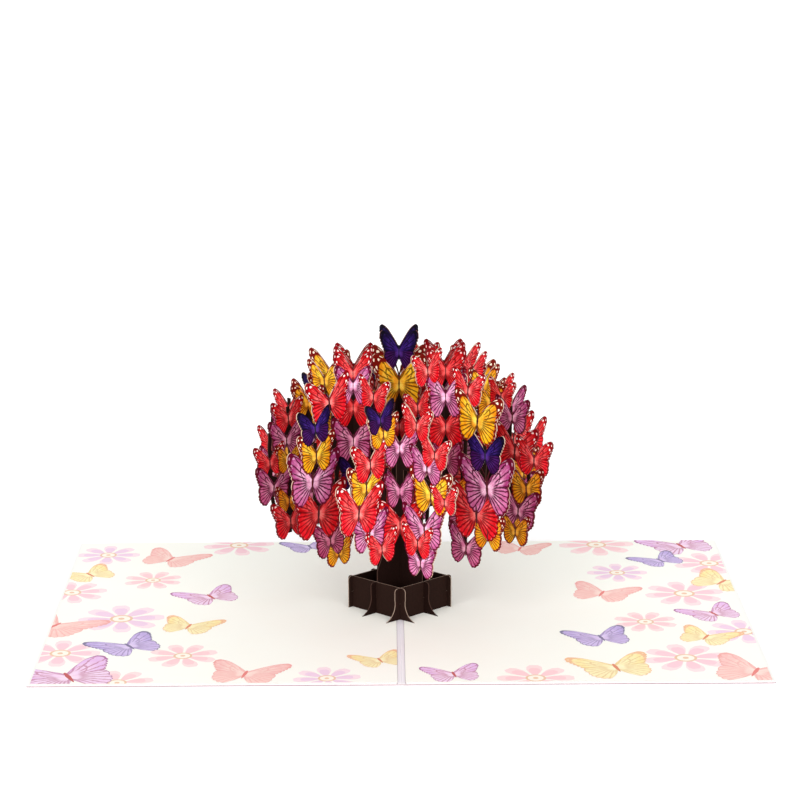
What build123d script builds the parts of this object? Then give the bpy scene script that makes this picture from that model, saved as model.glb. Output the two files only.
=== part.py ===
from build123d import *
import os
from math import cos, radians, sin

# Pop up card, opened flat. A folded cover carries two glued liner pages, and a tree of slotted
# die cut sheets stands on them: a square base of four low walls, two centre sheets that run from
# the base to the top, and four side sheets that are carried by the crossings of the crown alone.
# Millimetres, +Z up, X across the two open leaves, Y along the spine, Z = 0 under the cover.

# Card
leaf_width = 150.0
spine_length = 200.0
cover_thickness = 0.5
page_thickness = 0.4
page_inset = 1.2
spine_gap = 3.2
score_depth = 0.15

# Sheets of the tree
sheet_thickness = 0.4
slot_play = 0.12
slot_end_play = 0.2
half_crossing_angle = 42.0
lattice_pitch = 26.2
tree_height = 124.0

# Base
base_half_side = 13.8
wall_height = 14.0
fin_top_reach = 3.0
fin_tip_reach = 8.2
fin_flare_height = 9.0
fin_top_round = 1.5
fin_flare_share = 0.29
corner_reach = 2.4
tab_width = 5.0
tab_place_share = 0.55
slit_play = 0.15

# Branches
bough_width = 3.4
twig_width = 1.8
stem_width = 4.0
crossing_height_share = 0.5
smallest_cutout = 2.6

overrun = 5.0

page_top = cover_thickness + page_thickness
crossing_angle = 2 * half_crossing_angle
slot_width = sheet_thickness * (1 + cos(radians(crossing_angle))) / sin(radians(crossing_angle)) + slot_play
crossing_height = crossing_height_share * tree_height

# The largest butterfly follows the crown's lattice, so that neighbours stay joined when it grows
largest_span_share = 1.18
largest_rise_share = 0.25
largest_span = largest_span_share * lattice_pitch
largest_rise = largest_rise_share * tree_height

wall_column = base_half_side / lattice_pitch

# Outline of one butterfly: right half from the head down to the tail, in shares of its size
half_wing_shares = (
    (0.000, 0.040),
    (0.240, 0.320),
    (0.440, 0.440),
    (0.500, 0.330),
    (0.370, 0.020),
    (0.370, -0.150),
    (0.290, -0.345),
    (0.150, -0.370),
    (0.000, -0.120),
)

# The crown's two back columns stand lower than its two front ones
back_drop_share = 0.050

# Butterflies, one row each: place along the sheet in shares of the lattice pitch, height in
# shares of the tree's height, size in shares of the largest butterfly's, and tilt in degrees.
# The name of a table says which stretch of a sheet it fills. Negative places are nearer the
# sheet's own left end.
crown_axis_shares = (
    (0.00, 0.925, 0.70, 0),
    (0.00, 0.815, 1.00, 0),
    (0.00, 0.660, 0.70, 0),
)
front_left_column_shares = (
    (0.00, 0.880, 0.70, 0),
    (0.00, 0.645, 0.80, 0),
    (0.00, 0.765, 0.72, 0),
    (0.00, 0.530, 0.58, 0),
    (0.00, 0.838, 0.68, 0),
)
front_right_column_shares = (
    (0.00, 0.890, 0.72, 0),
    (0.00, 0.695, 0.80, 0),
    (0.00, 0.575, 0.62, 0),
    (0.00, 0.800, 0.76, 0),
)
nose_column_shares = (
    (0.00, 0.655, 0.70, 0),
    (0.00, 0.505, 0.60, 0),
    (0.00, 0.390, 0.86, 0),
)
flank_column_shares = (
    (0.00, 0.745, 0.62, 0),
    (0.00, 0.560, 0.66, 0),
    (0.00, 0.410, 0.66, 0),
)
centre_left_shares = (
    (-1.34, 0.262, 0.54, 0),
    (-1.52, 0.310, 0.62, 4),
    (-1.76, 0.420, 0.96, -3),
    (-1.88, 0.535, 0.92, -4),
    (-1.80, 0.622, 0.66, 0),
    (-1.52, 0.795, 0.78, 6),
    (-1.82, 0.715, 0.60, 4),
)
centre_right_shares = (
    (1.20, 0.470, 0.56, 0),
    (1.45, 0.280, 0.68, -5),
    (1.90, 0.345, 0.60, 0),
    (1.66, 0.412, 0.98, 3),
    (1.88, 0.508, 0.98, 4),
    (1.84, 0.620, 0.66, 0),
    (1.48, 0.835, 0.58, -4),
    (1.68, 0.735, 0.84, -4),
)
nose_left_shares = (
    (-1.72, 0.545, 0.68, 0),
    (-1.66, 0.382, 0.68, 0),
    (-1.40, 0.318, 0.58, 3),
    (-1.88, 0.465, 0.84, -4),
    (-1.64, 0.622, 0.66, 3),
    (-1.36, 0.715, 0.56, 0),
    (-1.42, 0.765, 0.52, 4),
)
nose_right_shares = (
    (1.44, 0.268, 0.56, 0),
    (1.52, 0.390, 0.74, 4),
    (1.38, 0.335, 0.56, 0),
    (1.66, 0.515, 0.74, 0),
    (1.94, 0.500, 0.48, 3),
    (1.58, 0.606, 0.62, 0),
    (1.74, 0.655, 0.54, -4),
    (1.36, 0.742, 0.55, -4),
)
flank_left_shares = (
    (-1.44, 0.705, 0.57, 4),
    (-1.48, 0.628, 0.64, 0),
    (-1.84, 0.562, 0.54, 3),
    (-1.76, 0.470, 0.66, -4),
    (-1.44, 0.410, 0.50, 0),
    (-1.44, 0.555, 0.50, 0),
    (-1.42, 0.338, 0.66, 3),
)
flank_right_shares = (
    (1.24, 0.772, 0.50, -3),
    (1.48, 0.705, 0.60, 0),
    (1.54, 0.592, 0.78, -3),
    (1.94, 0.570, 0.64, 0),
    (1.78, 0.463, 0.66, 4),
    (1.62, 0.378, 0.72, -3),
    (1.56, 0.300, 0.54, 0),
)
right_crown_shares = (
    (-0.40, 0.900, 0.56, 4),
    (0.60, 0.868, 0.52, -4),
    (0.84, 0.806, 0.60, -4),
    (-0.62, 0.780, 0.50, 3),
)
left_crown_shares = (
    (0.45, 0.812, 0.56, -4),
    (-0.63, 0.834, 0.60, 5),
    (0.66, 0.700, 0.50, 0),
)

# Branches, one point each: place along in shares of the lattice pitch, height in shares of the
# tree's height. The sheets slotted from above are whole below the crossing height, and the
# others are whole above it, so each family has boughs of its own.
low_bough_shares = ((0.00, 0.240), (0.80, 0.370), (1.30, 0.450), (1.80, 0.520))
high_bough_shares = ((0.00, 0.530), (0.80, 0.585), (1.30, 0.590), (1.80, 0.550))
low_side_bough_shares = ((0.00, 0.430), (0.80, 0.430), (1.30, 0.450), (1.80, 0.500))
high_side_bough_shares = ((0.00, 0.590), (0.80, 0.590), (1.30, 0.580), (1.80, 0.530))
twig_shares = (
    ((1.30, 0.430), (1.42, 0.600), (1.44, 0.740)),
    ((1.80, 0.520), (1.84, 0.600), (1.82, 0.660)),
    ((0.60, 0.330), (0.68, 0.600), (0.62, 0.740)),
    ((1.30, 0.590), (1.46, 0.440), (1.42, 0.290)),
    ((1.80, 0.550), (1.84, 0.470), (1.76, 0.400)),
    ((0.60, 0.590), (0.68, 0.480), (0.66, 0.400)),
)

# Stems, upright strips that carry the butterflies on both sides of a slot: place along in shares
# of the lattice pitch, then the foot's and the top's height in shares of the tree's height
centre_stem_shares = ((-1, 0.450, 0.800), (1, 0.450, 0.810), (0, 0.640, 0.810))
right_stem_shares = ((-1, 0.350, 0.640), (1, 0.370, 0.730), (0, 0.490, 0.810))
left_stem_shares = ((-1, 0.370, 0.730), (1, 0.350, 0.640), (0, 0.450, 0.800))

# Trunk, right edge from the foot up: half width in shares of the base's half side, height in
# shares of the tree's height
trunk_shares = (
    (0.95, 0.000),
    (0.95, 0.150),
    (0.60, 0.230),
    (0.36, 0.330),
    (0.33, 0.500),
    (0.20, 0.700),
    (0.10, 0.810),
)


def sheet_plane(family, across):
    """Plane of a sheet: X runs along the sheet and Y is up. across is measured from the middle."""
    side = 1 if family == "a" else -1
    angle = radians(half_crossing_angle)
    along = Vector(cos(angle), side * sin(angle), 0)
    offset = Vector(cos(angle), -side * sin(angle), 0) * across
    facing = Vector(side * sin(angle), -cos(angle), 0)
    return Plane(origin=offset + Vector(0, 0, page_top), x_dir=along, z_dir=facing)


def at_column(column, rows):
    return tuple((along + column, height, size, tilt) for along, height, size, tilt in rows)


def lower(rows):
    """The same butterflies on a back column."""
    return tuple((along, height - back_drop_share, *rest) for along, height, *rest in rows)


def butterfly(along_share, height_share, size_share, tilt):
    span, rise = size_share * largest_span, size_share * largest_rise
    right = [(x * span, y * rise) for x, y in half_wing_shares]
    left = [(-x, y) for x, y in reversed(right[1:-1])]
    place = Pos(along_share * lattice_pitch, height_share * tree_height) * Rot(0, 0, tilt)
    return place * Polygon(*right, *left, align=None)


def branch(shares, start_width, end_width, side):
    """Tapered strip along a run of points, one quadrilateral to each stretch."""
    points = [Vector(side * x * lattice_pitch, y * tree_height) for x, y in shares]
    stretches = len(points) - 1
    lefts, rights = [], []
    for number, point in enumerate(points):
        before = points[max(number - 1, 0)]
        after = points[min(number + 1, stretches)]
        heading = (after - before).normalized()
        half = (start_width + (end_width - start_width) * number / stretches) / 2
        across = Vector(-heading.Y, heading.X) * half
        lefts.append(point + across)
        rights.append(point - across)
    outline = [(corner.X, corner.Y) for corner in lefts + rights[::-1]]
    return Polygon(*outline, align=None)


def base_outline(right_end, left_end):
    """One low wall standing on the pages. Each end is flared into a root, or plain."""
    halves = []
    for side, end in ((1, right_end), (-1, left_end)):
        flared = end == "root"
        shoulder = base_half_side + (fin_top_reach if flared else corner_reach)
        tip = base_half_side + fin_tip_reach if flared else shoulder
        flare = fin_tip_reach - fin_top_reach
        bend = (shoulder + fin_flare_share * flare, fin_flare_share * fin_flare_height)
        foot = [Line((0, 0), (tip, 0))]
        if flared:
            foot.append(ThreePointArc((tip, 0), bend, (shoulder, fin_flare_height)))
        start = (shoulder, fin_flare_height) if flared else (tip, 0)
        top = [
            Line(start, (shoulder, wall_height - fin_top_round)),
            RadiusArc(
                (shoulder, wall_height - fin_top_round),
                (shoulder - fin_top_round, wall_height),
                -fin_top_round,
            ),
            Line((shoulder - fin_top_round, wall_height), (0, wall_height)),
            Line((0, wall_height), (0, 0)),
        ]
        half = make_face(Curve() + foot + top)
        halves.append(half if side > 0 else mirror(half, about=Plane.YZ))
    return merged(halves)


def tabs(width, depth):
    place = tab_place_share * base_half_side
    return [Pos(side * place, -depth / 2) * Rectangle(width, depth) for side in (-1, 1)]


def slots(columns, low, high):
    height = high - low
    return [
        Pos(column * lattice_pitch, (low + high) / 2) * Rectangle(slot_width, height)
        for column in columns
    ]


def half_slots(family, columns, low, middle, high):
    """One family is cut from above down to the middle, the other from below up to it."""
    if family == "a":
        return slots(columns, middle - slot_end_play / 2, high)
    return slots(columns, low, middle + slot_end_play / 2)


def branches(bough):
    strips = []
    for side in (-1, 1):
        strips.append(branch(bough, bough_width, twig_width, side))
        strips += [branch(twig, twig_width, twig_width, side) for twig in twig_shares]
    return strips


def stems(shares):
    return [
        Pos(column * lattice_pitch, (low + high) / 2 * tree_height)
        * Rectangle(stem_width, (high - low) * tree_height)
        for column, low, high in shares
    ]


def trunk():
    right = [(x * base_half_side, y * tree_height) for x, y in trunk_shares]
    return Polygon(*right, *[(-x, y) for x, y in reversed(right)], align=None)


def merged(shapes):
    """One outline of flat shapes. Only faces that look the same way merge, so all look up."""
    faces = [face for shape in shapes for face in shape.faces()]
    return Sketch() + [face if face.normal_at().Z > 0 else -face for face in faces]


def without_slivers(outline):
    """The outline with the holes filled that are too small to be cut out of a card sheet."""
    faces = []
    for face in outline.faces():
        holes = [wire for wire in face.inner_wires() if Face(wire).area > smallest_cutout**2]
        faces.append(Face(face.outer_wire(), holes))
    return Sketch() + faces


def cut_sheet(family, across, outline):
    return extrude(sheet_plane(family, across) * outline, amount=sheet_thickness / 2, both=True)


def base_wall(family, side):
    ends = ("plain", "root") if side > 0 else ("root", "plain")
    outline = merged([base_outline(*ends)] + tabs(tab_width, page_thickness))
    columns = (-wall_column, 0, wall_column)
    outline -= half_slots(family, columns, -overrun, wall_height / 2, wall_height + overrun)
    return cut_sheet(family, side * base_half_side, outline)


def centre_sheet(family, rows):
    bough = low_bough_shares if family == "a" else high_bough_shares
    shapes = [trunk(), base_outline("root", "root")] + tabs(tab_width, page_thickness)
    shapes += branches(bough) + stems(centre_stem_shares) + [butterfly(*row) for row in rows]
    outline = without_slivers(merged(shapes))
    walls, crown = (-wall_column, wall_column), (-1, 1)
    above_base, above_tree = wall_height + overrun, tree_height + overrun
    outline -= half_slots(family, walls, -overrun, wall_height / 2, above_base)
    outline -= half_slots(family, crown, above_base, crossing_height, above_tree)
    outline -= half_slots(family, (0,), -overrun, crossing_height, above_tree)
    return cut_sheet(family, 0, outline)


def side_sheet(family, side, rows):
    bough = low_side_bough_shares if family == "a" else high_side_bough_shares
    shapes = branches(bough) + stems(right_stem_shares if side > 0 else left_stem_shares)
    outline = without_slivers(merged(shapes + [butterfly(*row) for row in rows]))
    above_tree = tree_height + overrun
    outline -= half_slots(family, (-1, 0, 1), wall_height, crossing_height, above_tree)
    return cut_sheet(family, side * lattice_pitch, outline)


def cover():
    width, top = 2 * leaf_width, Align.MIN
    plate = Box(width, spine_length, cover_thickness, align=(Align.CENTER, Align.CENTER, top))
    score = Pos(0, 0, cover_thickness) * Rot(0, 45, 0)
    side = score_depth * 2**0.5
    return plate - score * Box(side, spine_length + overrun, side)


def slits():
    cutters = []
    outline = tabs(tab_width + 2 * slit_play, 2 * page_thickness + overrun)
    for family in ("a", "b"):
        for side in (-1, 0, 1):
            plane = sheet_plane(family, side * base_half_side)
            for tab in outline:
                half = sheet_thickness / 2 + slit_play
                cutters.append(extrude(plane * tab, amount=half, both=True))
    return cutters


def page(side):
    inner, outer = spine_gap / 2, leaf_width - page_inset
    plate = Pos(side * (inner + outer) / 2, 0, cover_thickness) * Box(
        outer - inner,
        spine_length - 2 * page_inset,
        page_thickness,
        align=(Align.CENTER, Align.CENTER, Align.MIN),
    )
    return plate - slits()


# Sheets that meet at a column of the crown carry the same butterflies there
left_column, right_column = front_left_column_shares, front_right_column_shares
left_top, right_top = left_column + left_crown_shares, right_column + right_crown_shares
centre_ends = centre_left_shares + centre_right_shares
centre_left_rows = (
    crown_axis_shares + at_column(-1, left_column) + at_column(1, lower(right_column)) + centre_ends
)
centre_right_rows = (
    crown_axis_shares + at_column(-1, lower(left_column)) + at_column(1, right_column) + centre_ends
)
right_ends = (
    at_column(-1, nose_column_shares)
    + at_column(1, flank_column_shares)
    + nose_left_shares
    + flank_right_shares
)
left_ends = (
    at_column(-1, flank_column_shares)
    + at_column(1, nose_column_shares)
    + flank_left_shares
    + nose_right_shares
)

pieces = {
    "cover": cover(),
    "left_page": page(-1),
    "right_page": page(1),
    "base_wall_front_right": base_wall("a", 1),
    "base_wall_back_left": base_wall("a", -1),
    "base_wall_back_right": base_wall("b", 1),
    "base_wall_front_left": base_wall("b", -1),
    "centre_sheet_left": centre_sheet("a", centre_left_rows),
    "centre_sheet_right": centre_sheet("b", centre_right_rows),
    "side_sheet_front_right": side_sheet("a", 1, right_top + right_ends),
    "side_sheet_back_right": side_sheet("b", 1, lower(right_top) + right_ends),
    "side_sheet_back_left": side_sheet("a", -1, lower(left_top) + left_ends),
    "side_sheet_front_left": side_sheet("b", -1, left_top + left_ends),
}

os.makedirs("parts", exist_ok=True)
for name, piece in pieces.items():
    export_step(piece, f"parts/{name}.step")
    print(name, len(piece.solids()), "solids", round(piece.volume), "mm3")
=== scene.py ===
import math

import bmesh
import bpy
from mathutils import Matrix, Vector


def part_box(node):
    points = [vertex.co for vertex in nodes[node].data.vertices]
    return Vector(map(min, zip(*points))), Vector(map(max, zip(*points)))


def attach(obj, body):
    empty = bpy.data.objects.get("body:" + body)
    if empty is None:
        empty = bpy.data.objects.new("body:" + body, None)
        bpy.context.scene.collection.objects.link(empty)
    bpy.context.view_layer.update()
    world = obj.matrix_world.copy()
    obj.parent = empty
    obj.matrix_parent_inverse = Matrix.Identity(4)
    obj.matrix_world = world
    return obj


# Pop up card, opened flat: prints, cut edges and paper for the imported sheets
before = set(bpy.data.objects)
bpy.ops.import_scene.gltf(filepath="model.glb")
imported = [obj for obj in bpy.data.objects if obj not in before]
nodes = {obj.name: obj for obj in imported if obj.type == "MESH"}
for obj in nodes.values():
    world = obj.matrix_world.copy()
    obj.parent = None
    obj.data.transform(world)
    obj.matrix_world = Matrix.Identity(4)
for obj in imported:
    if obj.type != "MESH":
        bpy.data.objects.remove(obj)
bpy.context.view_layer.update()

MM = 0.001
page_low, page_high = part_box("right_page")
page_top = page_high.z
cover_low, cover_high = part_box("cover")

# The tree's lattice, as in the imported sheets
half_crossing_angle = math.radians(42)
lattice_pitch = 26.2 * MM
tree_height = 124 * MM
largest_span_share = 1.18
largest_rise_share = 0.25
largest_span = largest_span_share * lattice_pitch
largest_rise = largest_rise_share * tree_height
sheet_half_thickness = 0.2 * MM

# Noise scales: about how many grains or clouds fall on a metre
page_cloud_scale = 40.0
wing_cloud_scale = 320.0
wing_drift_scale = 700.0
cotton_scale = 900.0
card_grain_scale = 1200.0
body_grain_scale = 1500.0
fibre_scale = 2600.0
edge_grain_scale = 3000.0

# Fine relief of the papers: how high it stands, and how strongly it shows
fibre_height = 0.05 * MM
cotton_height = 0.08 * MM
print_relief = 0.1
paper_relief = 0.15
cotton_relief = 0.2

# The cover's weave in radians to the metre, and its share beside the cotton's grain
weave_radians = 9000.0
weave_share = 0.4

# How strongly each surface mirrors
plain_gloss = 0.3
wing_gloss = 0.06
brown_gloss = 0.04

# Heights of a face's normal, from -1 for straight down to 1 for straight up, between which a
# lower, an inner or an upper face gives way to a cut edge
cover_below_normals = (-0.8, -0.6)
cover_inside_normals = (0.3, 0.5)
page_above_normals = (0.3, 0.6)


# Colours are given as they are seen, red, green and blue from 0 to 1

def linear(colour):
    """A seen colour as the light values that the shaders take, by the sRGB curve."""
    values = [c / 12.92 if c <= 0.04045 else ((c + 0.055) / 1.055) ** 2.4 for c in colour]
    return (*values, 1.0)


class Shader:
    """One node material, with short calls for the nodes that it is built from."""

    def __init__(self, name, roughness, gloss=plain_gloss):
        self.material = bpy.data.materials.new(name)
        self.material.use_nodes = True
        self.tree = self.material.node_tree
        self.surface = self.tree.nodes["Principled BSDF"]
        self.surface.inputs["Roughness"].default_value = roughness
        self.surface.inputs["Specular IOR Level"].default_value = gloss

    def node(self, kind, *sources, **settings):
        """A new node of this kind with its settings, its first sockets fed in order."""
        made = self.tree.nodes.new("ShaderNode" + kind)
        for key, value in settings.items():
            setattr(made, key, value)
        for number, source in enumerate(sources):
            self.feed(made.inputs[number], source)
        return made

    def feed(self, socket, source):
        """Links the socket to another node's output, or sets it to a plain value."""
        if isinstance(source, bpy.types.NodeSocket):
            self.tree.links.new(source, socket)
        else:
            socket.default_value = source

    def math(self, operation, *sources):
        return self.node("Math", *sources, operation=operation).outputs[0]

    def plus(self, first, second):
        return self.math("ADD", first, second)

    def minus(self, first, second):
        return self.math("SUBTRACT", first, second)

    def times(self, first, second):
        return self.math("MULTIPLY", first, second)

    def larger(self, first, second):
        return self.math("MAXIMUM", first, second)

    def absolute(self, value):
        return self.math("ABSOLUTE", value)

    def step(self, value, low, high, start=0.0, end=1.0):
        """Goes smoothly from start to end as the value goes from low to high."""
        made = self.node("MapRange", value, low, high, start, end)
        made.interpolation_type = "SMOOTHSTEP"
        return made.outputs[0]

    def fall(self, value, low, high, start=1.0, end=0.0):
        """The same the other way, from 1 to 0 where nothing else is said."""
        return self.step(value, low, high, start, end)

    def mix(self, share, first, second, blend="MIX"):
        """Two colours mixed, all of the first at share 0 and all of the second at 1."""
        made = self.tree.nodes.new("ShaderNodeMix")
        made.data_type = "RGBA"
        made.blend_type = blend
        # The sockets of a colour mix come after those for numbers and vectors
        share_socket, first_socket, second_socket = (made.inputs[i] for i in (0, 6, 7))
        self.feed(share_socket, share)
        for socket, source in ((first_socket, first), (second_socket, second)):
            self.feed(socket, linear(source) if isinstance(source, tuple) else source)
        return made.outputs[2]

    def noise(self, vector, scale, detail=2.0):
        made = self.tree.nodes.new("ShaderNodeTexNoise")
        self.feed(made.inputs["Vector"], vector)
        made.inputs["Scale"].default_value = scale
        made.inputs["Detail"].default_value = detail
        return made.outputs["Fac"]

    def place(self):
        return self.tree.nodes.new("ShaderNodeNewGeometry").outputs["Position"]

    def normal(self):
        return self.tree.nodes.new("ShaderNodeNewGeometry").outputs["True Normal"]

    def parts(self, vector):
        """The vector's X, Y and Z."""
        return self.node("SeparateXYZ", vector).outputs

    def attribute(self, name):
        made = self.tree.nodes.new("ShaderNodeAttribute")
        made.attribute_name = name
        return made

    def colour(self, source):
        if isinstance(source, tuple):
            source = linear(source)
        self.feed(self.surface.inputs["Base Color"], source)

    def bump(self, height, strength, distance):
        made = self.tree.nodes.new("ShaderNodeBump")
        made.inputs["Strength"].default_value = strength
        made.inputs["Distance"].default_value = distance
        self.feed(made.inputs["Height"], height)
        self.tree.links.new(made.outputs["Normal"], self.surface.inputs["Normal"])


def paper_grain(shader, strength):
    """Fine fibres over the whole surface."""
    shader.bump(shader.noise(shader.place(), fibre_scale, detail=3.0), strength, fibre_height)


def page_material():
    """Warm white paper, greyer at its cut edges with painted shade."""
    shader = Shader("page_paper", roughness=0.75)
    cloud = shader.noise(shader.place(), page_cloud_scale)
    face = shader.mix(cloud, (0.997, 1.0, 0.970), (0.993, 0.990, 0.954))
    # Painted shade: the cut edges are drawn grey, as edges that stand in shade
    cut = (0.80, 0.77, 0.76)
    above = shader.step(shader.parts(shader.normal())[2], *page_above_normals)
    shader.colour(shader.mix(above, cut, face))
    paper_grain(shader, paper_relief)
    return shader.material


# The strip of the cover that the pages leave bare over the spine, the grey line of painted shade
# beside each page's inner edge, and the height on the cut edges where the pink layer, drawn dark
# with painted contact shadow, ends. Each pair is where the change starts and where it ends.
strip_half_width = page_low.x
shade_line_start = (strip_half_width - 0.2 * MM, strip_half_width - 0.1 * MM)
shade_line_end = (strip_half_width + 0.3 * MM, strip_half_width + 0.4 * MM)
pink_layer_end = (cover_low.z + 0.28 * MM, cover_low.z + 0.36 * MM)


def cover_material():
    """Pink cotton textured card outside and pale inside, with cut edges that show both."""
    shader = Shader("cover_card", roughness=0.8)
    across, along, height = shader.parts(shader.place())
    upward = shader.parts(shader.normal())[2]
    outside = shader.fall(upward, *cover_below_normals)
    inside = shader.step(upward, *cover_inside_normals)
    weave = shader.times(shader.math("SINE", shader.times(across, weave_radians)),
                         shader.math("SINE", shader.times(along, weave_radians)))
    cotton = shader.noise(shader.place(), cotton_scale, detail=4.0)
    pink = shader.mix(cotton, (0.93, 0.49, 0.63), (0.96, 0.55, 0.68))
    # The grey line beside each page's inner edge is painted shade
    shade_line, white, strip = (0.68, 0.64, 0.68), (0.98, 0.98, 0.965), (0.955, 0.94, 0.96)
    from_spine = shader.absolute(across)
    lining = shader.mix(shader.step(from_spine, *shade_line_end), shade_line, white)
    lining = shader.mix(shader.fall(from_spine, *shade_line_start), lining, strip)
    # The pink layer low on the cut edge is its own pink darkened by painted contact shadow
    cut_pink_and_shadow, cut_white = (0.54, 0.42, 0.46), (0.96, 0.95, 0.94)
    cut = shader.mix(shader.step(height, *pink_layer_end), cut_pink_and_shadow, cut_white)
    shader.colour(shader.mix(outside, shader.mix(inside, cut, lining), pink))
    texture = shader.plus(shader.times(weave, weave_share), cotton)
    shader.bump(texture, cotton_relief, cotton_height)
    return shader.material


# How well a normal fits a printed face, 1 at best. Up to the first number it is a cut edge's.
printed_fits = (0.9985, 0.9995)


def brown_card_material(name, deep, light, cut):
    """Card printed brown on both faces, with paler cut edges round its outline."""
    shader = Shader(name, roughness=0.7, gloss=brown_gloss)
    normal = shader.parts(shader.normal())
    sideways, forwards = shader.absolute(normal[0]), shader.absolute(normal[1])
    # This sum is 1 on a printed face, whichever of the two ways its sheet runs
    fit = shader.plus(shader.times(sideways, math.sin(half_crossing_angle)),
                      shader.times(forwards, math.cos(half_crossing_angle)))
    printed = shader.step(fit, *printed_fits)
    grain = shader.noise(shader.place(), card_grain_scale, detail=4.0)
    shader.colour(shader.mix(printed, cut, shader.mix(grain, deep, light)))
    paper_grain(shader, paper_relief)
    return shader.material


# Painted shade: a butterfly's painted light is 1 where it is drawn fully lit, lower deeper in the
# tree. Its cut edges go from painted shade to pale between these.
edge_painted_light_steps = (0.75, 1.0)


def edge_material():
    """Cut edge of the white card, with painted shade on the butterflies deep in the tree."""
    shader = Shader("cut_edge", roughness=0.8)
    grain = shader.noise(shader.place(), edge_grain_scale)
    pale = shader.mix(grain, (0.84, 0.72, 0.63), (0.73, 0.60, 0.52))
    painted_shade_edge = (0.36, 0.14, 0.14)
    painted_light = shader.step(shader.attribute("painted_light").outputs["Fac"], *edge_painted_light_steps)
    shader.colour(shader.mix(painted_light, painted_shade_edge, pale))
    return shader.material


# Wing prints: colours near the body, in the middle and further out on the forewing, then the
# hindwing, veins, margin, spots and body, and the shade that the print's clouds darken it by.
# Shares say how strong the veins and the spots are, and how far out the margin starts at the
# forewing's tip and elsewhere.
palettes = {
    "red": {
        "inner": (1.00, 0.64, 0.60), "middle": (0.98, 0.20, 0.26), "outer": (0.78, 0.02, 0.08),
        "hind": (0.92, 0.10, 0.17), "vein": (0.32, 0.00, 0.03), "margin": (0.52, 0.01, 0.06),
        "spot": (1.00, 0.97, 0.95), "body": (0.30, 0.02, 0.04),
        "vein_share": 0.78, "tip_share": 0.84, "rim_share": 0.92, "spot_share": 1.0,
        "shade": (0.91, 0.68, 0.70),
    },
    "yellow": {
        "inner": (1.00, 0.91, 0.42), "middle": (1.00, 0.81, 0.16), "outer": (0.93, 0.64, 0.06),
        "hind": (0.96, 0.72, 0.10), "vein": (0.24, 0.07, 0.02), "margin": (0.44, 0.06, 0.03),
        "spot": (1.00, 0.94, 0.84), "body": (0.30, 0.05, 0.03),
        "vein_share": 0.84, "tip_share": 0.70, "rim_share": 0.88, "spot_share": 1.0,
        "shade": (0.93, 0.76, 0.60),
    },
    "purple": {
        "inner": (1.00, 0.89, 0.95), "middle": (0.90, 0.60, 0.77), "outer": (0.68, 0.28, 0.52),
        "hind": (0.83, 0.48, 0.67), "vein": (0.24, 0.01, 0.10), "margin": (0.36, 0.02, 0.14),
        "spot": (0.95, 0.76, 0.88), "body": (0.34, 0.03, 0.08),
        "vein_share": 0.95, "tip_share": 0.82, "rim_share": 0.90, "spot_share": 0.4,
        "shade": (0.87, 0.71, 0.80),
    },
    "navy": {
        "inner": (0.34, 0.22, 0.60), "middle": (0.17, 0.09, 0.42), "outer": (0.09, 0.04, 0.24),
        "hind": (0.25, 0.07, 0.33), "vein": (0.03, 0.01, 0.09), "margin": (0.03, 0.01, 0.07),
        "spot": (0.24, 0.16, 0.40), "body": (0.05, 0.03, 0.08),
        "vein_share": 0.85, "tip_share": 0.84, "rim_share": 0.92, "spot_share": 0.3,
        "shade": (0.88, 0.77, 0.82),
    },
}

# The wings' print turns round this point of the body, a share of the rise below the middle
heart_share = -0.04

# Angles round it in radians, 0 straight out, in a drawing where the span and the rise are 1.
# The notch between the wings is soft by a small angle to both sides, and angles drift a little.
notch_angle = 0.16
notch_softness = 0.05
tip_angle = 0.75
drift_angle = 0.10

# Every pair below is where a change starts and where it ends. Colours change at these shares of
# the way from the body to the rim.
middle_colour_shares = (0.00, 0.24)
outer_colour_shares = (0.38, 0.84)
hind_colour_shares = (0.00, 0.30)

# Light streaks: noise stretched along the wing, the values at which it shows, its fade towards
# the rim and its strength
streaks_per_radian = 16.0
streaks_per_length = 3.0
streak_scale = 1.6
streak_values = (0.47, 0.62)
streak_end_shares = (0.25, 0.90)
streak_strength_share = 0.90
cloud_values = (0.35, 0.65)

# Rays start at a share of the way to the rim, and their edges fade by distance
veins_per_half_turn = 15.0
ray_start_shares = (0.22, 0.36)
ray_edge_shares = (0.07, 0.21)

# The cell's end: its share of the way to the rim, how that grows with each radian, and its edge
cell_share = 0.50
cell_slope = 0.18
cell_edge_shares = (0.012, 0.035)

# The seam between the wings, and the dark notch that it opens into near the rim
seam_start_shares = (0.30, 0.70)
seam_edge_shares = (0.003, 0.011)
seam_strength_share = 0.8
notch_start_shares = (0.78, 1.0)
notch_width_share = 0.045
notch_edge_shares = (-0.006, 0.004)

# The margin: the angles from the tip over which it comes to its plain width, and its soft edge
margin_tip_angles = (0.0, 0.60)
margin_edge_shares = (0.0, 0.04)

# Two rings of spots: the ring's share of the way to the rim, then half a spot's width as a share
# of the distance between spots, and half its height as a share of the way to the rim
outer_spot_shares = (0.935, 0.20, 0.024)
inner_spot_shares = (0.83, 0.22, 0.038)
spots_per_radian = 5.0
spot_edge_shares = (0.6, 1.0)
# The inner ring is turned against the outer. Both fade with the angle from the tip.
inner_spot_turn = 0.1
inner_spot_angles = (0.20, 0.40)
outer_spot_angles = (0.30, 0.75)
outer_spot_rest_share = 0.15

# Painted shade: the colour that the print of a butterfly deep in the tree is multiplied by, and
# what a body's colour is multiplied by to give its darker grains
painted_shade_tint = (0.80, 0.48, 0.50)
dark_grain_share = 0.6


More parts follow.
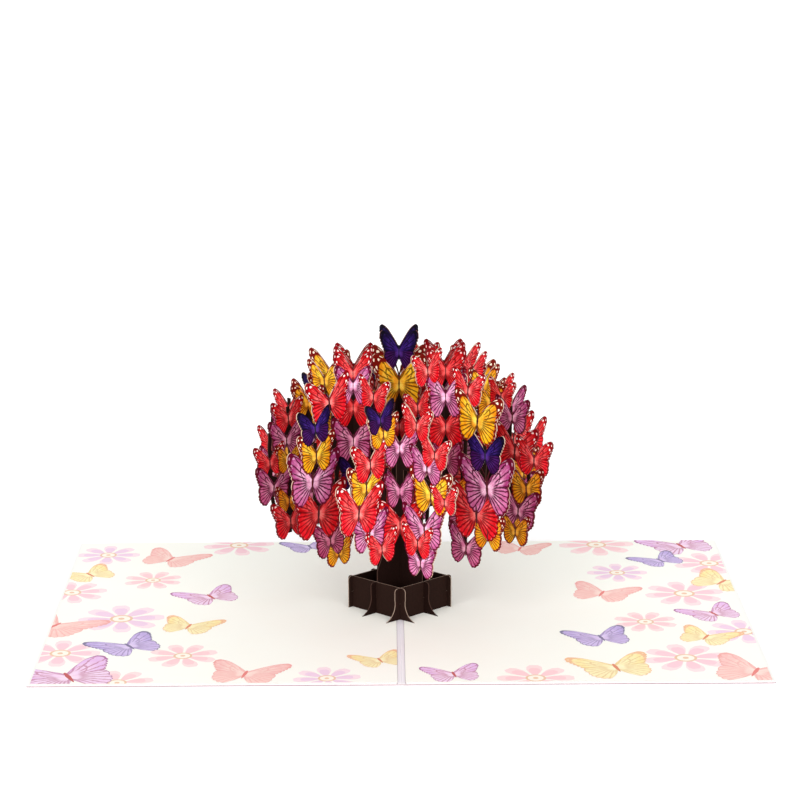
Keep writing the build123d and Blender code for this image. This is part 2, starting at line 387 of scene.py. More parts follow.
def wing_coordinates(shader):
    """Angle round the body, distance from it, share of the way to the rim, and fore or hind."""
    wing = shader.parts(shader.attribute("wing").outputs["Vector"])
    side = shader.absolute(wing[0])
    up = shader.minus(wing[1], heart_share)
    drift = shader.minus(shader.noise(shader.place(), wing_drift_scale), 0.5)
    # The angle needs a side that is never quite 0
    nearly_zero = 0.0001
    angle = shader.math("ARCTAN2", up, shader.plus(side, nearly_zero))
    angle = shader.plus(angle, shader.times(drift, drift_angle))
    flat = shader.node("CombineXYZ", side, up)
    far = shader.node("VectorMath", flat.outputs[0], operation="LENGTH").outputs["Value"]
    fore = shader.step(angle, notch_angle - notch_softness, notch_angle + notch_softness)
    return angle, far, wing[2], fore


def spots(shader, angle, reach, ring, width, height):
    """Round dots spaced evenly by angle on one ring near the rim."""
    turn = shader.math("FRACT", shader.times(angle, spots_per_radian))
    across = shader.math("DIVIDE", shader.minus(turn, 0.5), width)
    along = shader.math("DIVIDE", shader.minus(reach, ring), height)
    squared = shader.plus(shader.math("POWER", across, 2.0), shader.math("POWER", along, 2.0))
    return shader.fall(squared, *spot_edge_shares)


def wing_ground(shader, palette, angle, far, reach, fore):
    """The wing's colours from the body out, with fine light streaks that fan out."""
    tint = shader.mix(shader.step(reach, *middle_colour_shares), palette["inner"],
                      palette["middle"])
    tint = shader.mix(shader.step(reach, *outer_colour_shares), tint, palette["outer"])
    hind = shader.mix(shader.step(reach, *hind_colour_shares), palette["inner"],
                      palette["hind"])
    tint = shader.mix(fore, hind, tint)
    fan = shader.node("CombineXYZ", shader.times(angle, streaks_per_radian),
                      shader.times(far, streaks_per_length))
    streak = shader.noise(fan.outputs[0], streak_scale, detail=1.0)
    streak = shader.step(streak, *streak_values)
    near = shader.fall(reach, *streak_end_shares, start=streak_strength_share)
    tint = shader.mix(shader.times(streak, near), tint, palette["inner"])
    cloud = shader.step(shader.noise(shader.place(), wing_cloud_scale), *cloud_values)
    cloud = shader.mix(cloud, palette["shade"], (1.0, 1.0, 1.0))
    return shader.mix(1.0, tint, cloud, "MULTIPLY")


def wing_veins(shader, palette, angle, far, reach, fore):
    """How strongly a vein shows: rays, the cell's end, and the seam and notch between wings."""
    swing = shader.math("SINE", shader.times(angle, veins_per_half_turn))
    from_ray = shader.times(shader.absolute(swing), far)
    ray = shader.times(shader.fall(from_ray, *ray_edge_shares),
                       shader.step(reach, *ray_start_shares))
    bow = shader.times(shader.minus(angle, tip_angle), cell_slope)
    from_cell = shader.absolute(shader.minus(reach, shader.plus(bow, cell_share)))
    cell = shader.times(shader.fall(from_cell, *cell_edge_shares), fore)
    from_notch = shader.times(shader.absolute(shader.minus(angle, notch_angle)), far)
    seam = shader.times(shader.fall(from_notch, *seam_edge_shares, start=seam_strength_share),
                        shader.step(reach, *seam_start_shares))
    notch_width = shader.step(reach, *notch_start_shares, end=notch_width_share)
    notch = shader.fall(shader.minus(from_notch, notch_width), *notch_edge_shares)
    vein = shader.larger(shader.larger(ray, cell), shader.larger(seam, notch))
    return shader.times(vein, palette["vein_share"])


def wing_material(name, palette):
    """Printed wing: radial streaks, veins, a dark margin and pale spots in it, and painted shade.
    """
    shader = Shader(name, roughness=0.6, gloss=wing_gloss)
    angle, far, reach, fore = wing_coordinates(shader)
    tint = wing_ground(shader, palette, angle, far, reach, fore)
    tint = shader.mix(wing_veins(shader, palette, angle, far, reach, fore), tint,
                      palette["vein"])
    from_tip = shader.absolute(shader.minus(angle, tip_angle))
    start = shader.step(from_tip, *margin_tip_angles, palette["tip_share"],
                        palette["rim_share"])
    margin = shader.step(shader.minus(reach, start), *margin_edge_shares)
    tint = shader.mix(margin, tint, palette["margin"])
    outer = spots(shader, angle, reach, *outer_spot_shares)
    inner = spots(shader, shader.plus(angle, inner_spot_turn), reach, *inner_spot_shares)
    inner = shader.times(inner, shader.fall(from_tip, *inner_spot_angles))
    outer = shader.times(outer, shader.fall(from_tip, *outer_spot_angles,
                                            end=outer_spot_rest_share))
    dots = shader.times(shader.larger(outer, inner), palette["spot_share"])
    tint = shader.mix(dots, tint, palette["spot"])
    # Painted shade: the lower a butterfly's painted light, the more of this darker copy it shows
    darker = shader.mix(1.0, tint, painted_shade_tint, "MULTIPLY")
    shader.colour(shader.mix(shader.attribute("painted_light").outputs["Fac"], darker, tint))
    paper_grain(shader, print_relief)
    return shader.material


def body_material(name, colour):
    """A butterfly's body, with darker grains."""
    shader = Shader(name, roughness=0.6)
    darker = tuple(dark_grain_share * c for c in colour)
    grain = shader.noise(shader.place(), body_grain_scale, detail=3.0)
    shader.colour(shader.mix(grain, colour, darker))
    paper_grain(shader, print_relief)
    return shader.material


def flat_ink(name, colour):
    """One pale ink printed on the page's paper."""
    shader = Shader(name, roughness=0.75)
    shader.colour(colour)
    paper_grain(shader, print_relief)
    return shader.material


cut_edge = edge_material()
wing_materials = {
    name: wing_material("wing_" + name, palette) for name, palette in palettes.items()
}
body_materials = {
    name: body_material("body_" + name, palette["body"]) for name, palette in palettes.items()
}

# One butterfly, right half from the head to the tail: its corners in shares of its size, as the
# sheets are cut, and for each edge how far it swells and how many scallops it has
half_wing_shares = (
    (0.000, 0.040),
    (0.240, 0.320),
    (0.440, 0.440),
    (0.500, 0.330),
    (0.370, 0.020),
    (0.370, -0.150),
    (0.290, -0.345),
    (0.150, -0.370),
    (0.000, -0.120),
)
edge_swell_shares = (0.02, 0.08, 0.22, 0.02, 0.16, 0.12, 0.18, 0.06)
edge_scallops = (0, 0, 0, 5, 0, 3, 2, 0)
scallop_share = 0.018
# The print is a little larger than the sheet's own butterfly, so that it covers its cut edge
growth_share = 1.015
points_per_scallop = 4
points_per_plain_edge = 5


def butterfly_outline():
    """The whole rim, head first and clockwise, in shares of the butterfly's size."""
    right = []
    for number, swell in enumerate(edge_swell_shares):
        start, end = Vector(half_wing_shares[number]), Vector(half_wing_shares[number + 1])
        edge = end - start
        outward = Vector((-edge.y, edge.x)).normalized()
        if outward.dot((start + end) / 2 - Vector((0, heart_share))) < 0:
            outward = -outward
        scallops = edge_scallops[number]
        steps = points_per_scallop * scallops or points_per_plain_edge
        for step in range(steps):
            share = step / steps
            lift = swell * edge.length * 4 * share * (1 - share)
            lift += scallop_share * abs(math.sin(math.pi * scallops * share))
            right.append((start + share * edge + lift * outward) * growth_share)
    right.append(Vector(half_wing_shares[-1]) * growth_share)
    left = [Vector((-p.x, p.y)) for p in reversed(right[1:-1])]
    return right + left


rim = butterfly_outline()


def sheet_matrix(family, across):
    """Frame of a sheet: X along it, Y up, Z towards the front. Family a runs from front left to
    back right, and b from back left to front right."""
    side = 1 if family == "a" else -1
    angle = half_crossing_angle
    along = Vector((math.cos(angle), side * math.sin(angle), 0))
    facing = Vector((side * math.sin(angle), -math.cos(angle), 0))
    origin = Vector((math.cos(angle), -side * math.sin(angle), 0)) * across * lattice_pitch
    origin.z = page_top
    matrix = Matrix.Identity(4)
    for column, axis in enumerate((along, Vector((0, 0, 1)), facing)):
        matrix.col[column].xyz = axis
    matrix.col[3].xyz = origin
    return matrix


def new_piece(name, mesh_maker, materials):
    """A mesh object from a bmesh that mesh_maker fills, riding on the card."""
    mesh = bpy.data.meshes.new(name)
    bm = bmesh.new()
    mesh_maker(bm)
    bm.to_mesh(mesh)
    bm.free()
    for material in materials:
        mesh.materials.append(material)
    piece = bpy.data.objects.new(name, mesh)
    bpy.context.scene.collection.objects.link(piece)
    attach(piece, "root")
    return piece


def add_wings(bm, place, lift, painted_light, wing_slot, edge_slot, both_sides=True):
    """A fan of printed triangles from the body on each face, and the cut edge between them."""
    wing = bm.verts.layers.float_vector["wing"]
    # Each vertex carries its butterfly's painted light: 1 fully lit, lower where shade is painted
    shade = bm.verts.layers.float["painted_light"]
    faces = (1, -1) if both_sides else (1,)
    rims = []
    for face in faces:
        centre = bm.verts.new(place @ Vector((0, heart_share, face * lift)))
        centre[wing] = (0, heart_share, 0.0)
        centre[shade] = painted_light
        ring = []
        for point in rim:
            vertex = bm.verts.new(place @ Vector((point.x, point.y, face * lift)))
            vertex[wing] = (point.x, point.y, 1.0)
            vertex[shade] = painted_light
            ring.append(vertex)
        for first, second in zip(ring, ring[1:] + ring[:1]):
            corners = (centre, second, first) if face == 1 else (centre, first, second)
            bm.faces.new(corners).material_index = wing_slot
        rims.append(ring)
    if both_sides:
        front, back = rims
        for number in range(len(front)):
            after = (number + 1) % len(front)
            quad = bm.faces.new((front[number], front[after], back[after], back[number]))
            quad.material_index = edge_slot


# Half a body's width and the height along it, from the head to the tail
body_profile_shares = (
    (0.000, 0.090),
    (0.014, 0.075),
    (0.020, 0.020),
    (0.026, -0.030),
    (0.018, -0.110),
    (0.010, -0.180),
    (0.000, -0.215),
)
body_height = 0.12 * MM
# The body's foot lies a little inside the print, so that no gap shows under it
body_foot_share = 0.9


def add_body(bm, place, lift, slot):
    """A raised spindle on each face."""
    for face in (1, -1):
        top = face * (lift + body_height)
        bottom = face * lift * body_foot_share
        ridge = [bm.verts.new(place @ Vector((0, y, top))) for _, y in body_profile_shares]
        for side in (1, -1):
            foot = [bm.verts.new(place @ Vector((side * x, y, bottom)))
                    for x, y in body_profile_shares]
            for number in range(len(body_profile_shares) - 1):
                corners = (ridge[number], ridge[number + 1], foot[number + 1], foot[number])
                if side * face < 0:
                    corners = corners[::-1]
                bm.faces.new(corners).material_index = slot


# A feeler's middle line, and half its width along it
feeler_shares = ((0.0, 0.07), (0.035, 0.17), (0.090, 0.27), (0.16, 0.35))
feeler_width_shares = (0.007, 0.007, 0.007, 0.014)


def add_feelers(bm, place, lift, slot):
    """Two thin curved feelers, each a strip on both faces of the sheet."""
    for side in (1, -1):
        middle = [Vector((side * x, y)) for x, y in feeler_shares]
        pairs = []
        for number, point in enumerate(middle):
            ahead = middle[min(number + 1, len(middle) - 1)] - middle[max(number - 1, 0)]
            across = Vector((-ahead.y, ahead.x)).normalized() * feeler_width_shares[number]
            pairs.append((point + across, point - across))
        for face in (1, -1):
            verts = [[bm.verts.new(place @ Vector((p.x, p.y, face * lift))) for p in pair]
                     for pair in pairs]
            for first, second in zip(verts, verts[1:]):
                bm.faces.new((first[0], second[0], second[1], first[1])).material_index = slot


# The crown's two back columns stand lower than its two front ones
back_drop_share = 0.050

# Butterflies of the tree: place along the sheet in pitches, height in shares of the tree's
# height, size in shares of the largest, tilt in degrees, print, and painted light: 1 where the
# print is drawn fully lit, lower where painted shade darkens butterflies deeper in the tree
crown_axis_shares = (
    (0.00, 0.925, 0.70, 0, "navy", 0.8),
    (0.00, 0.815, 1.00, 0, "yellow", 1.0),
    (0.00, 0.660, 0.70, 0, "red", 0.4),
)
front_left_column_shares = (
    (0.00, 0.880, 0.70, 0, "red", 0.8),
    (0.00, 0.645, 0.80, 0, "purple", 0.6),
    (0.00, 0.765, 0.72, 0, "red", 0.5),
    (0.00, 0.530, 0.58, 0, "navy", 0.6),
    (0.00, 0.838, 0.68, 0, "purple", 1.0),
)
front_right_column_shares = (
    (0.00, 0.890, 0.72, 0, "red", 0.4),
    (0.00, 0.695, 0.80, 0, "red", 0.6),
    (0.00, 0.575, 0.62, 0, "purple", 0.3),
    (0.00, 0.800, 0.76, 0, "purple", 1.0),
)
nose_column_shares = (
    (0.00, 0.655, 0.70, 0, "purple", 0.9),
    (0.00, 0.505, 0.60, 0, "purple", 0.7),
    (0.00, 0.390, 0.86, 0, "red", 0.6),
)
flank_column_shares = (
    (0.00, 0.745, 0.62, 0, "yellow", 0.7),
    (0.00, 0.560, 0.66, 0, "red", 0.5),
    (0.00, 0.410, 0.66, 0, "purple", 0.5),
)
centre_left_shares = (
    (-1.34, 0.262, 0.54, 0, "yellow", 0.6),
    (-1.52, 0.310, 0.62, 4, "purple", 0.3),
    (-1.76, 0.420, 0.96, -3, "red", 0.5),
    (-1.88, 0.535, 0.92, -4, "purple", 1.0),
    (-1.80, 0.622, 0.66, 0, "yellow", 1.0),
    (-1.52, 0.795, 0.78, 6, "red", 1.0),
    (-1.82, 0.715, 0.60, 4, "navy", 1.0),
)
centre_right_shares = (
    (1.20, 0.470, 0.56, 0, "yellow", 0.3),
    (1.45, 0.280, 0.68, -5, "purple", 0.5),
    (1.90, 0.345, 0.60, 0, "yellow", 0.7),
    (1.66, 0.412, 0.98, 3, "red", 0.7),
    (1.88, 0.508, 0.98, 4, "purple", 0.9),
    (1.84, 0.620, 0.66, 0, "navy", 1.0),
    (1.48, 0.835, 0.58, -4, "red", 1.0),
    (1.68, 0.735, 0.84, -4, "yellow", 1.0),
)
nose_left_shares = (
    (-1.72, 0.545, 0.68, 0, "yellow", 1.0),
    (-1.66, 0.382, 0.68, 0, "purple", 1.0),
    (-1.40, 0.318, 0.58, 3, "red", 1.0),
    (-1.88, 0.465, 0.84, -4, "red", 1.0),
    (-1.64, 0.622, 0.66, 3, "red", 1.0),
    (-1.36, 0.715, 0.56, 0, "yellow", 1.0),
    (-1.42, 0.765, 0.52, 4, "navy", 0.8),
)
nose_right_shares = (
    (1.44, 0.268, 0.56, 0, "purple", 1.0),
    (1.52, 0.390, 0.74, 4, "purple", 1.0),
    (1.38, 0.335, 0.56, 0, "red", 1.0),
    (1.66, 0.515, 0.74, 0, "yellow", 1.0),
    (1.94, 0.500, 0.48, 3, "red", 1.0),
    (1.58, 0.606, 0.62, 0, "purple", 1.0),
    (1.74, 0.655, 0.54, -4, "red", 1.0),
    (1.36, 0.742, 0.55, -4, "red", 1.0),
)
flank_left_shares = (
    (-1.44, 0.705, 0.57, 4, "red", 0.7),
    (-1.48, 0.628, 0.64, 0, "purple", 0.5),
    (-1.84, 0.562, 0.54, 3, "red", 0.7),
    (-1.76, 0.470, 0.66, -4, "purple", 0.5),
    (-1.44, 0.410, 0.50, 0, "yellow", 0.4),
    (-1.44, 0.555, 0.50, 0, "yellow", 0.5),
    (-1.42, 0.338, 0.66, 3, "red", 0.7),
)
flank_right_shares = (
    (1.24, 0.772, 0.50, -3, "red", 0.9),
    (1.48, 0.705, 0.60, 0, "purple", 0.6),
    (1.54, 0.592, 0.78, -3, "red", 0.6),
    (1.94, 0.570, 0.64, 0, "red", 0.8),
    (1.78, 0.463, 0.66, 4, "yellow", 0.5),
    (1.62, 0.378, 0.72, -3, "purple", 0.5),
    (1.56, 0.300, 0.54, 0, "yellow", 0.6),
)
right_crown_shares = (
    (-0.40, 0.900, 0.56, 4, "red", 1.0),
    (0.60, 0.868, 0.52, -4, "red", 1.0),
    (0.84, 0.806, 0.60, -4, "yellow", 0.9),
    (-0.62, 0.780, 0.50, 3, "red", 0.5),
)
left_crown_shares = (
    (0.45, 0.812, 0.56, -4, "red", 1.0),
    (-0.63, 0.834, 0.60, 5, "yellow", 1.0),
    (0.66, 0.700, 0.50, 0, "purple", 0.6),
)


def at_column(column, rows):
    """The same butterflies along another column of the lattice."""
    return tuple((along + column, *rest) for along, *rest in rows)


def lower(rows):
    """The same butterflies on a back column of the crown."""
    return tuple((along, height - back_drop_share, *rest) for along, height, *rest in rows)


left_top_shares = front_left_column_shares + left_crown_shares
right_top_shares = front_right_column_shares + right_crown_shares
left_end_shares = (
    at_column(-1, flank_column_shares)
    + at_column(1, nose_column_shares)
    + flank_left_shares
    + nose_right_shares
)
right_end_shares = (
    at_column(-1, nose_column_shares)
    + at_column(1, flank_column_shares)
    + nose_left_shares
    + flank_right_shares
)
centre_end_shares = centre_left_shares + centre_right_shares

# The high red butterfly on the left is yellow on the sheet that stands behind it
high_red_shares = centre_left_shares[5]
high_yellow_shares = (*high_red_shares[:4], "yellow", 0.9)
centre_back_end_shares = tuple(
    high_yellow_shares if row == high_red_shares else row for row in centre_end_shares
)

centre_left_sheet_shares = (
    crown_axis_shares
    + at_column(-1, front_left_column_shares)
    + at_column(1, lower(front_right_column_shares))
    + centre_end_shares
)
centre_right_sheet_shares = (
    crown_axis_shares
    + at_column(-1, lower(front_left_column_shares))
    + at_column(1, front_right_column_shares)
    + centre_back_end_shares
)

# Prints stand this far off what carries them, and each layer this far off the one below
print_gap = 0.01 * MM
layer_step = 0.012 * MM
# Two butterflies overlap if their middles are nearer than this share of both spans together
overlap_share = 0.45
# Butterflies above this size have feelers
feeler_size_share = 0.9


def layers_of(rows):
    """Rows that come later are printed over the earlier ones that they overlap."""
    layers = []
    for number, (along, height, size, *_) in enumerate(rows):
        below = [-1]
        for other, (other_along, other_height, other_size, *_) in enumerate(rows[:number]):
            far = math.hypot((other_along - along) * lattice_pitch,
                             (other_height - height) * tree_height)
            if far < overlap_share * (other_size + size) * largest_span:
                below.append(layers[other])
        layers.append(1 + max(below))
    return layers


def butterflies(name, family, across, rows):
    """All the printed butterflies of one sheet, as one piece."""
    prints = list(palettes)
    materials = [wing_materials[p] for p in prints] + [cut_edge]
    materials += [body_materials[p] for p in prints]
    edge_slot = len(prints)
    sheet = sheet_matrix(family, across)
    layers = layers_of(rows)

    def fill(bm):
        bm.verts.layers.float_vector.new("wing")
        bm.verts.layers.float.new("painted_light")
        for number, (along, height, size, tilt, print_name, painted_light) in enumerate(rows):
            lift = sheet_half_thickness + print_gap + layers[number] * layer_step
            place = (
                sheet
                @ Matrix.Translation((along * lattice_pitch, height * tree_height, 0))
                @ Matrix.Rotation(math.radians(tilt), 4, "Z")
                @ Matrix.Diagonal((size * largest_span, size * largest_rise, 1, 1))
            )
            wing_slot = prints.index(print_name)
            body_slot = edge_slot + 1 + wing_slot
            add_wings(bm, place, lift, painted_light, wing_slot, edge_slot)
            add_body(bm, place, lift, body_slot)
            if size > feeler_size_share:
                add_feelers(bm, place, sheet_half_thickness, body_slot)

    return new_piece(name, fill, materials)


butterflies("butterflies_centre_left", "a", 0, centre_left_sheet_shares)
butterflies("butterflies_centre_right", "b", 0, centre_right_sheet_shares)
butterflies("butterflies_front_right", "a", 1, right_top_shares + right_end_shares)
butterflies("butterflies_back_right", "b", 1, lower(right_top_shares) + right_end_shares)
butterflies("butterflies_back_left", "a", -1, lower(left_top_shares) + left_end_shares)
butterflies("butterflies_front_left", "b", -1, left_top_shares + left_end_shares)


# Print on the pages: daisies and resting butterflies in pale inks, cut off just inside the
# page's edges
leaf_width = cover_high.x
print_margin = 0.05 * MM
print_edge = page_high.x - print_margin
print_inner = page_low.x + print_margin
print_end = page_high.y - print_margin
ink_step = 0.002 * MM

pale_inks = {
    "salmon": {
        "inner": (1.00, 0.91, 0.87), "middle": (0.99, 0.85, 0.82), "outer": (0.98, 0.79, 0.77),
        "hind": (0.99, 0.83, 0.80), "vein": (0.93, 0.62, 0.60), "margin": (0.95, 0.68, 0.66),
        "spot": (1.00, 0.92, 0.90), "body": (0.90, 0.52, 0.50),
        "vein_share": 0.45, "tip_share": 0.90, "rim_share": 0.96, "spot_share": 0.3,
        "shade": (0.99, 0.97, 0.97),
    },
    "lemon": {
        "inner": (1.00, 0.98, 0.84), "middle": (1.00, 0.96, 0.76), "outer": (1.00, 0.93, 0.68),
        "hind": (1.00, 0.96, 0.77), "vein": (0.88, 0.72, 0.48), "margin": (0.96, 0.76, 0.60),
        "spot": (1.00, 0.95, 0.84), "body": (0.88, 0.55, 0.42),
        "vein_share": 0.50, "tip_share": 0.84, "rim_share": 0.95, "spot_share": 0.4,
        "shade": (0.99, 0.97, 0.95),
    },
    "orchid": {
        "inner": (0.99, 0.91, 0.96), "middle": (0.96, 0.84, 0.95), "outer": (0.92, 0.77, 0.93),
        "hind": (0.96, 0.86, 0.95), "vein": (0.72, 0.40, 0.52), "margin": (0.68, 0.42, 0.62),
        "spot": (0.98, 0.88, 0.94), "body": (0.76, 0.36, 0.36),
        "vein_share": 0.65, "tip_share": 0.93, "rim_share": 0.96, "spot_share": 0.3,
        "shade": (0.99, 0.96, 0.98),
    },
    "slate": {
        "inner": (0.91, 0.85, 0.96), "middle": (0.85, 0.78, 0.94), "outer": (0.77, 0.70, 0.89),
        "hind": (0.84, 0.77, 0.93), "vein": (0.52, 0.46, 0.64), "margin": (0.50, 0.48, 0.60),
        "spot": (0.84, 0.80, 0.92), "body": (0.50, 0.46, 0.60),
        "vein_share": 0.60, "tip_share": 0.90, "rim_share": 0.95, "spot_share": 0.3,
        "shade": (0.98, 0.96, 0.98),
    },
}
daisy_inks = {
    "pink": ((0.995, 0.885, 0.895), (0.980, 0.815, 0.850)),
    "rose": ((0.995, 0.880, 0.880), (0.985, 0.820, 0.835)),
    "lilac": ((0.985, 0.890, 0.920), (0.945, 0.825, 0.905)),
}

# Across runs from 0 at the spine to 1 at the leaf's outer edge, along from -1 at the front edge
# to 1 at the back. Then come the width in millimetres, the turn in degrees and the ink.
left_daisy_shares = (
    (0.50, 0.95, 34, 10, "pink"),
    (0.90, 0.80, 30, 0, "lilac"),
    (0.74, 0.40, 27, 24, "rose"),
    (0.97, 0.22, 32, 12, "pink"),
    (0.80, -0.16, 38, 6, "lilac"),
    (0.60, -0.66, 30, 20, "rose"),
    (0.94, -0.62, 34, 0, "pink"),
    (0.20, -0.95, 28, 8, "lilac"),
    (0.76, -0.99, 30, 14, "rose"),
)
left_butterfly_shares = (
    (0.70, 0.74, 30, -24, "salmon"),
    (0.28, 0.93, 24, 18, "slate"),
    (0.94, 0.50, 26, 34, "lemon"),
    (0.56, 0.16, 28, 28, "orchid"),
    (0.98, -0.24, 36, -30, "salmon"),
    (0.60, -0.26, 26, -16, "lemon"),
    (0.76, -0.52, 30, 32, "slate"),
    (0.42, -0.88, 32, -12, "salmon"),
    (0.90, -0.90, 42, 24, "orchid"),
    (0.06, -0.72, 22, 20, "lemon"),
)
right_daisy_shares = (
    (0.62, 0.93, 36, 4, "rose"),
    (0.95, 0.62, 34, 16, "pink"),
    (0.66, 0.48, 28, 0, "lilac"),
    (0.84, 0.16, 36, 10, "pink"),
    (0.70, -0.24, 28, 22, "rose"),
    (0.97, -0.38, 32, 4, "lilac"),
    (0.78, -0.72, 36, 12, "pink"),
    (0.36, -0.96, 32, 0, "rose"),
)
right_butterfly_shares = (
    (0.88, 0.92, 34, 20, "orchid"),
    (0.38, 0.88, 26, -14, "salmon"),
    (0.80, 0.68, 24, 30, "slate"),
    (0.97, 0.34, 32, -34, "lemon"),
    (0.60, 0.18, 30, -20, "salmon"),
    (0.90, -0.12, 26, 26, "orchid"),
    (0.56, -0.44, 28, 16, "slate"),
    (0.86, -0.44, 26, -26, "lemon"),
    (0.58, -0.82, 34, 14, "lemon"),
    (0.96, -0.88, 38, -22, "salmon"),
    (0.14, -0.90, 24, 12, "orchid"),
)

# A daisy's parts in shares of its half width
petal_count = 8
ring_share = 0.26
cream_share = 0.20
dot_share = 0.07
petal_outline_shares = ((0.22, 0.055), (0.42, 0.140), (0.64, 0.205), (0.84, 0.195), (0.97, 0.110))
inner_petal_share = 0.72
disc_points = 32

# Inks that overlap within a daisy lie in layers of their own. A butterfly has one for its wings
# and one for its body.
outer_petal_layers = (0, 1)
inner_petal_layer, ring_layer, cream_layer, dot_layer = 2, 3, 4, 5
daisy_layers = 6
butterfly_layers = 2


def flat_shape(bm, place, points, lift, slot):
    """One flat face through the points."""
    face = bm.faces.new([bm.verts.new(place @ Vector((x, y, lift))) for x, y in points])
    face.material_index = slot


def disc(radius):
    """Points of a round outline."""
    turns = [math.tau * step / disc_points for step in range(disc_points)]
    return [(radius * math.cos(turn), radius * math.sin(turn)) for turn in turns]


def petal(scale):
    """A petal's outline, its root in place and the rest scaled from there."""
    root = petal_outline_shares[0][0]
    right = [(root + (x - root) * scale, y * scale) for x, y in petal_outline_shares]
    return [(x, -y) for x, y in right] + [(x, y) for x, y in reversed(right)]


def add_daisy(bm, place, slots):
    """Petals with a deeper inner part, round a ring, a cream disc and a dot."""
    pale, deep, tan, cream = slots
    for number in range(petal_count):
        turned = place @ Matrix.Rotation(math.tau * number / petal_count, 4, "Z")
        layer = outer_petal_layers[number % 2]
        flat_shape(bm, turned, petal(1), layer * ink_step, pale)
        flat_shape(bm, turned, petal(inner_petal_share), inner_petal_layer * ink_step, deep)
    flat_shape(bm, place, disc(ring_share), ring_layer * ink_step, tan)
    flat_shape(bm, place, disc(cream_share), cream_layer * ink_step, cream)
    flat_shape(bm, place, disc(dot_share), dot_layer * ink_step, tan)


pale_wings = {name: wing_material("pale_" + name, inks) for name, inks in pale_inks.items()}
pale_bodies = {
    name: flat_ink("pale_body_" + name, inks["body"]) for name, inks in pale_inks.items()
}
daisy_materials = []
daisy_slots = {}
for name, (pale, deep) in daisy_inks.items():
    daisy_slots[name] = (len(daisy_materials), len(daisy_materials) + 1)
    daisy_materials += [flat_ink("daisy_" + name, pale), flat_ink("daisy_deep_" + name, deep)]
centre_slots = (len(daisy_materials), len(daisy_materials) + 1)
daisy_materials += [flat_ink("daisy_tan", (0.93, 0.78, 0.66)),
                    flat_ink("daisy_cream", (1.0, 0.97, 0.92))]


def trim(bm, side):
    """Cuts the print off at its four edges."""
    limits = (
        (Vector((side * print_edge, 0, 0)), Vector((side, 0, 0))),
        (Vector((side * print_inner, 0, 0)), Vector((-side, 0, 0))),
        (Vector((0, print_end, 0)), Vector((0, 1, 0))),
        (Vector((0, -print_end, 0)), Vector((0, -1, 0))),
    )
    for point, outward in limits:
        everything = bm.verts[:] + bm.edges[:] + bm.faces[:]
        bmesh.ops.bisect_plane(bm, geom=everything, plane_co=point, plane_no=outward,
                               clear_outer=True)


def page_print(name, side, daisies, resting):
    """One page's daisies and resting butterflies. Side is 1 on the right and -1 on the left."""
    inks = list(pale_inks)
    materials = daisy_materials + [pale_wings[i] for i in inks] + [pale_bodies[i] for i in inks]
    first_wing = len(daisy_materials)
    body = list(body_profile_shares)
    body += [(-x, y) for x, y in reversed(body_profile_shares[1:-1])]

    def spot(across, along, turn, size):
        place = Vector((side * across * leaf_width, along * page_high.y, page_top + print_gap))
        return (
            Matrix.Translation(place)
            @ Matrix.Rotation(math.radians(turn), 4, "Z")
            @ Matrix.Diagonal((size, size, 1, 1))
        )

    def fill(bm):
        bm.verts.layers.float_vector.new("wing")
        bm.verts.layers.float.new("painted_light")
        for across, along, width, turn, ink in daisies:
            place = spot(across, along, turn, width * MM / 2)
            add_daisy(bm, place, daisy_slots[ink] + centre_slots)
        for number, (across, along, width, turn, ink) in enumerate(resting):
            place = spot(across, along, turn, width * MM)
            slot = first_wing + inks.index(ink)
            lift = (daisy_layers + butterfly_layers * number) * ink_step
            add_wings(bm, place, lift, 1.0, slot, slot, both_sides=False)
            flat_shape(bm, place, body, lift + ink_step, slot + len(inks))
        trim(bm, side)

    return new_piece(name, fill, materials)


page_print("left_page_print", -1, left_daisy_shares, left_butterfly_shares)
page_print("right_page_print", 1, right_daisy_shares, right_butterfly_shares)


def dress(node, material):
    """Gives a packed sheet its material."""
    nodes[node].data.materials.clear()
    nodes[node].data.materials.append(material)


base_card = brown_card_material(
    "base_card", (0.110, 0.060, 0.046), (0.160, 0.100, 0.080), (0.60, 0.52, 0.46)
)
# Painted shade: the tree's card is the same brown drawn darker, its cut edges too, as canopy
# shade
tree_card = brown_card_material(
    "tree_card", (0.082, 0.038, 0.030), (0.125, 0.066, 0.050), (0.28, 0.20, 0.17)
)
for node in nodes:
    if node == "cover":
        dress(node, cover_material())
    elif node.endswith("_page"):
        dress(node, page_material())
    elif node.startswith("base_wall"):
        dress(node, base_card)
    else:
        dress(node, tree_card)

# Camera fitted to the card's corners in the photograph, for a picture of 800 by 800. Its place
# is in metres, and its angles are in degrees, pitch down from level.
photo_size = 800
focal_pixels = 2661
sensor_width = 36.0
camera_place = (-0.0066, -1.1089, 0.3583 + page_top)
camera_turn, camera_pitch, camera_roll = -0.36, 13.48, -0.19
clip_near, clip_far = 0.05, 20

camera_data = bpy.data.cameras.new("camera")
camera_data.sensor_width = sensor_width
camera_data.lens = focal_pixels / photo_size * sensor_width
camera_data.clip_start = clip_near
camera_data.clip_end = clip_far
camera = bpy.data.objects.new("camera", camera_data)
camera.location = camera_place
camera.rotation_euler = (
    Matrix.Rotation(math.radians(camera_turn), 3, "Z")
    @ Matrix.Rotation(math.radians(90 - camera_pitch), 3, "X")
    @ Matrix.Rotation(math.radians(camera_roll), 3, "Z")
).to_euler()
bpy.context.scene.collection.objects.link(camera)
bpy.context.scene.camera = camera


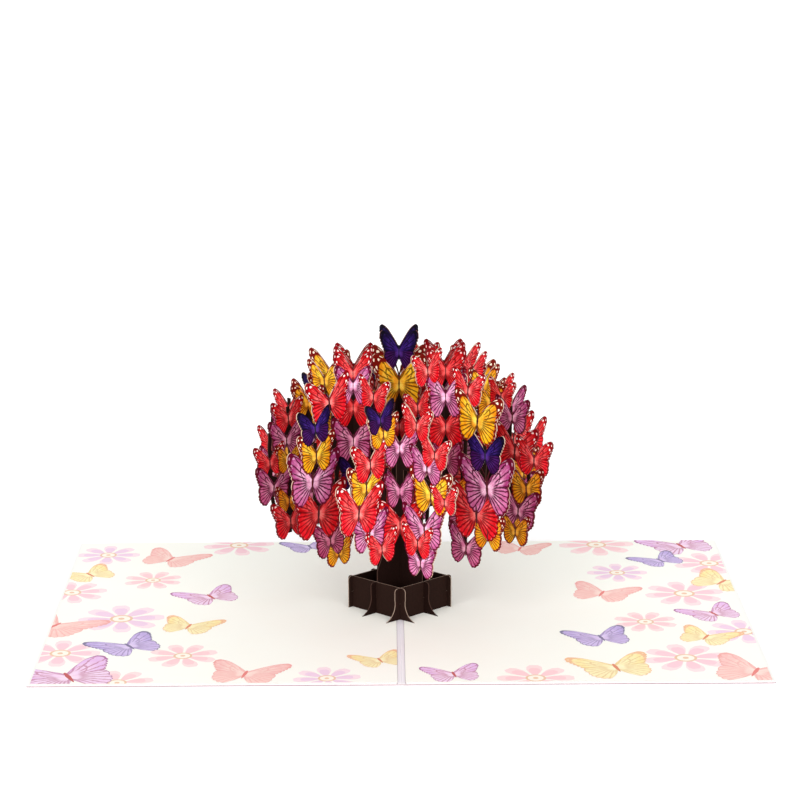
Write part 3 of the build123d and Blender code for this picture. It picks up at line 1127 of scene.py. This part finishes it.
def seen_share(tree):
    """1 for what the camera, a mirror or glass sees, and 0 for the light that falls on things."""
    path = tree.nodes.new("ShaderNodeLightPath")
    total = path.outputs["Is Camera Ray"]
    for name in ("Is Glossy Ray", "Is Transmission Ray"):
        adder = tree.nodes.new("ShaderNodeMath")
        adder.operation = "MAXIMUM"
        tree.links.new(total, adder.inputs[0])
        tree.links.new(path.outputs[name], adder.inputs[1])
        total = adder.outputs[0]
    return total


floor_size = 16
floor_gap = 0.1 * MM
floor_glow = 0.18


def floor_material():
    """White floor that keeps the card's soft shadow."""
    shader = Shader("floor", roughness=0.9)
    shader.colour((0.985, 0.985, 0.985))
    glow = shader.times(seen_share(shader.tree), floor_glow)
    shader.feed(shader.surface.inputs["Emission Color"], (1, 1, 1, 1))
    shader.feed(shader.surface.inputs["Emission Strength"], glow)
    return shader.material


bpy.ops.mesh.primitive_plane_add(size=floor_size, location=(0, 0, cover_low.z - floor_gap))
floor = bpy.context.object
floor.name = "floor"
floor.data.materials.append(floor_material())


def sun(name, azimuth, elevation, width, power):
    """Soft light from far away. Azimuth is 0 in front of the card and grows to the right."""
    data = bpy.data.lights.new(name, "SUN")
    data.angle = math.radians(width)
    data.energy = power
    lamp = bpy.data.objects.new(name, data)
    turn, rise = math.radians(azimuth), math.radians(elevation)
    from_lamp = Vector((-math.sin(turn) * math.cos(rise), math.cos(turn) * math.cos(rise),
                        -math.sin(rise)))
    lamp.rotation_euler = from_lamp.to_track_quat("-Z", "Y").to_euler()
    bpy.context.scene.collection.objects.link(lamp)


# Azimuth, elevation and width in degrees, then the power
sun("key", -24, 22, 46, 1.92)
sun("fill", 23, 21, 50, 1.82)
sun("back_left", -145, 36, 50, 0.25)
sun("back_right", 145, 36, 50, 0.25)

# Strength of the white world as a light, and as a background
world_light = 0.55
world_seen = 1.0

world = bpy.data.worlds.new("world")
world.use_nodes = True
sky = world.node_tree.nodes["Background"]
sky.inputs["Color"].default_value = (1, 1, 1, 1)
strength = world.node_tree.nodes.new("ShaderNodeMapRange")
world.node_tree.links.new(seen_share(world.node_tree), strength.inputs["Value"])
strength.inputs["To Min"].default_value = world_light
strength.inputs["To Max"].default_value = world_seen
world.node_tree.links.new(strength.outputs["Result"], sky.inputs["Strength"])
bpy.context.scene.world = world
bpy.context.scene.view_settings.view_transform = "Standard"
